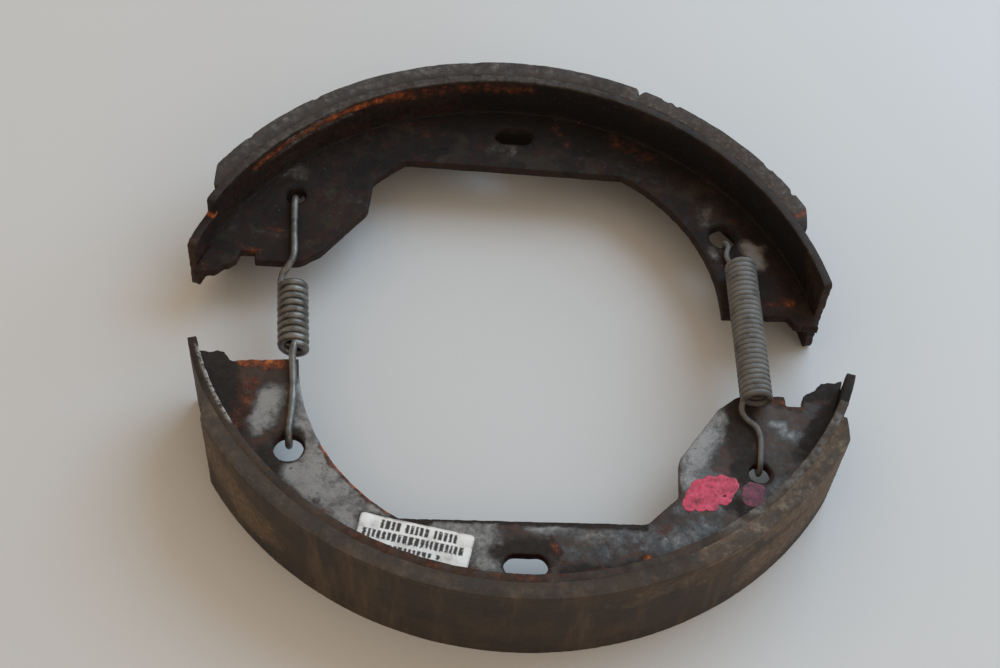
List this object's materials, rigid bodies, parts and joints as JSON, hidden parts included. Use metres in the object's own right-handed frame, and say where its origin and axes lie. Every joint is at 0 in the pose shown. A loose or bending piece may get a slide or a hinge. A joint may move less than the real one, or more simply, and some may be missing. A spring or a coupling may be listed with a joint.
{
  "type": "parking brake shoe pair",
  "caption": "Pair of curved T-section brake shoes with bonded linings, drawn together by two coil return springs.",
  "frame": {"origin": "middle of the pair's box on the surface that the shoes lie on, halfway between the two shoes' circle centres to within 1 mm", "axes": "+Z along the drum's axis, up from the surface; +Y from the lower shoe to the upper one; +X to the side with the light spring"},
  "size_m": [0.1754, 0.1668, 0.03],
  "materials": {
    "dark_steel": "old dark coating gone brown, rust showing through",
    "worn_steel": "coating worn to grey metal, with brown and orange rust",
    "rusted_steel": "brown surface rust, matt",
    "friction_lining": "dusty moulded friction material, matt",
    "heavy_spring": "dark drawn wire, half gloss",
    "light_spring": "dull grey drawn wire, dusty",
    "label": "soiled white sticker with plain grey bars"
  },
  "bodies": {
    "upper_shoe": {"upper_web": "dark_steel", "upper_table": "dark_steel", "upper_lining": "friction_lining", "left_spring": "heavy_spring", "right_spring": "light_spring"},
    "lower_shoe": {"lower_web": "worn_steel", "lower_table": "rusted_steel", "lower_lining": "friction_lining", "web_label": "label"}
  },
  "joints": [
    {"name": "shoe_spread", "type": "slide", "parent": "upper_shoe", "child": "lower_shoe", "axis": [-0.2941, -0.9558, 0], "range_m": [0, 0.019], "stiffness_N_per_m": 12000, "deforming": ["left_spring", "right_spring"]}
  ]
}
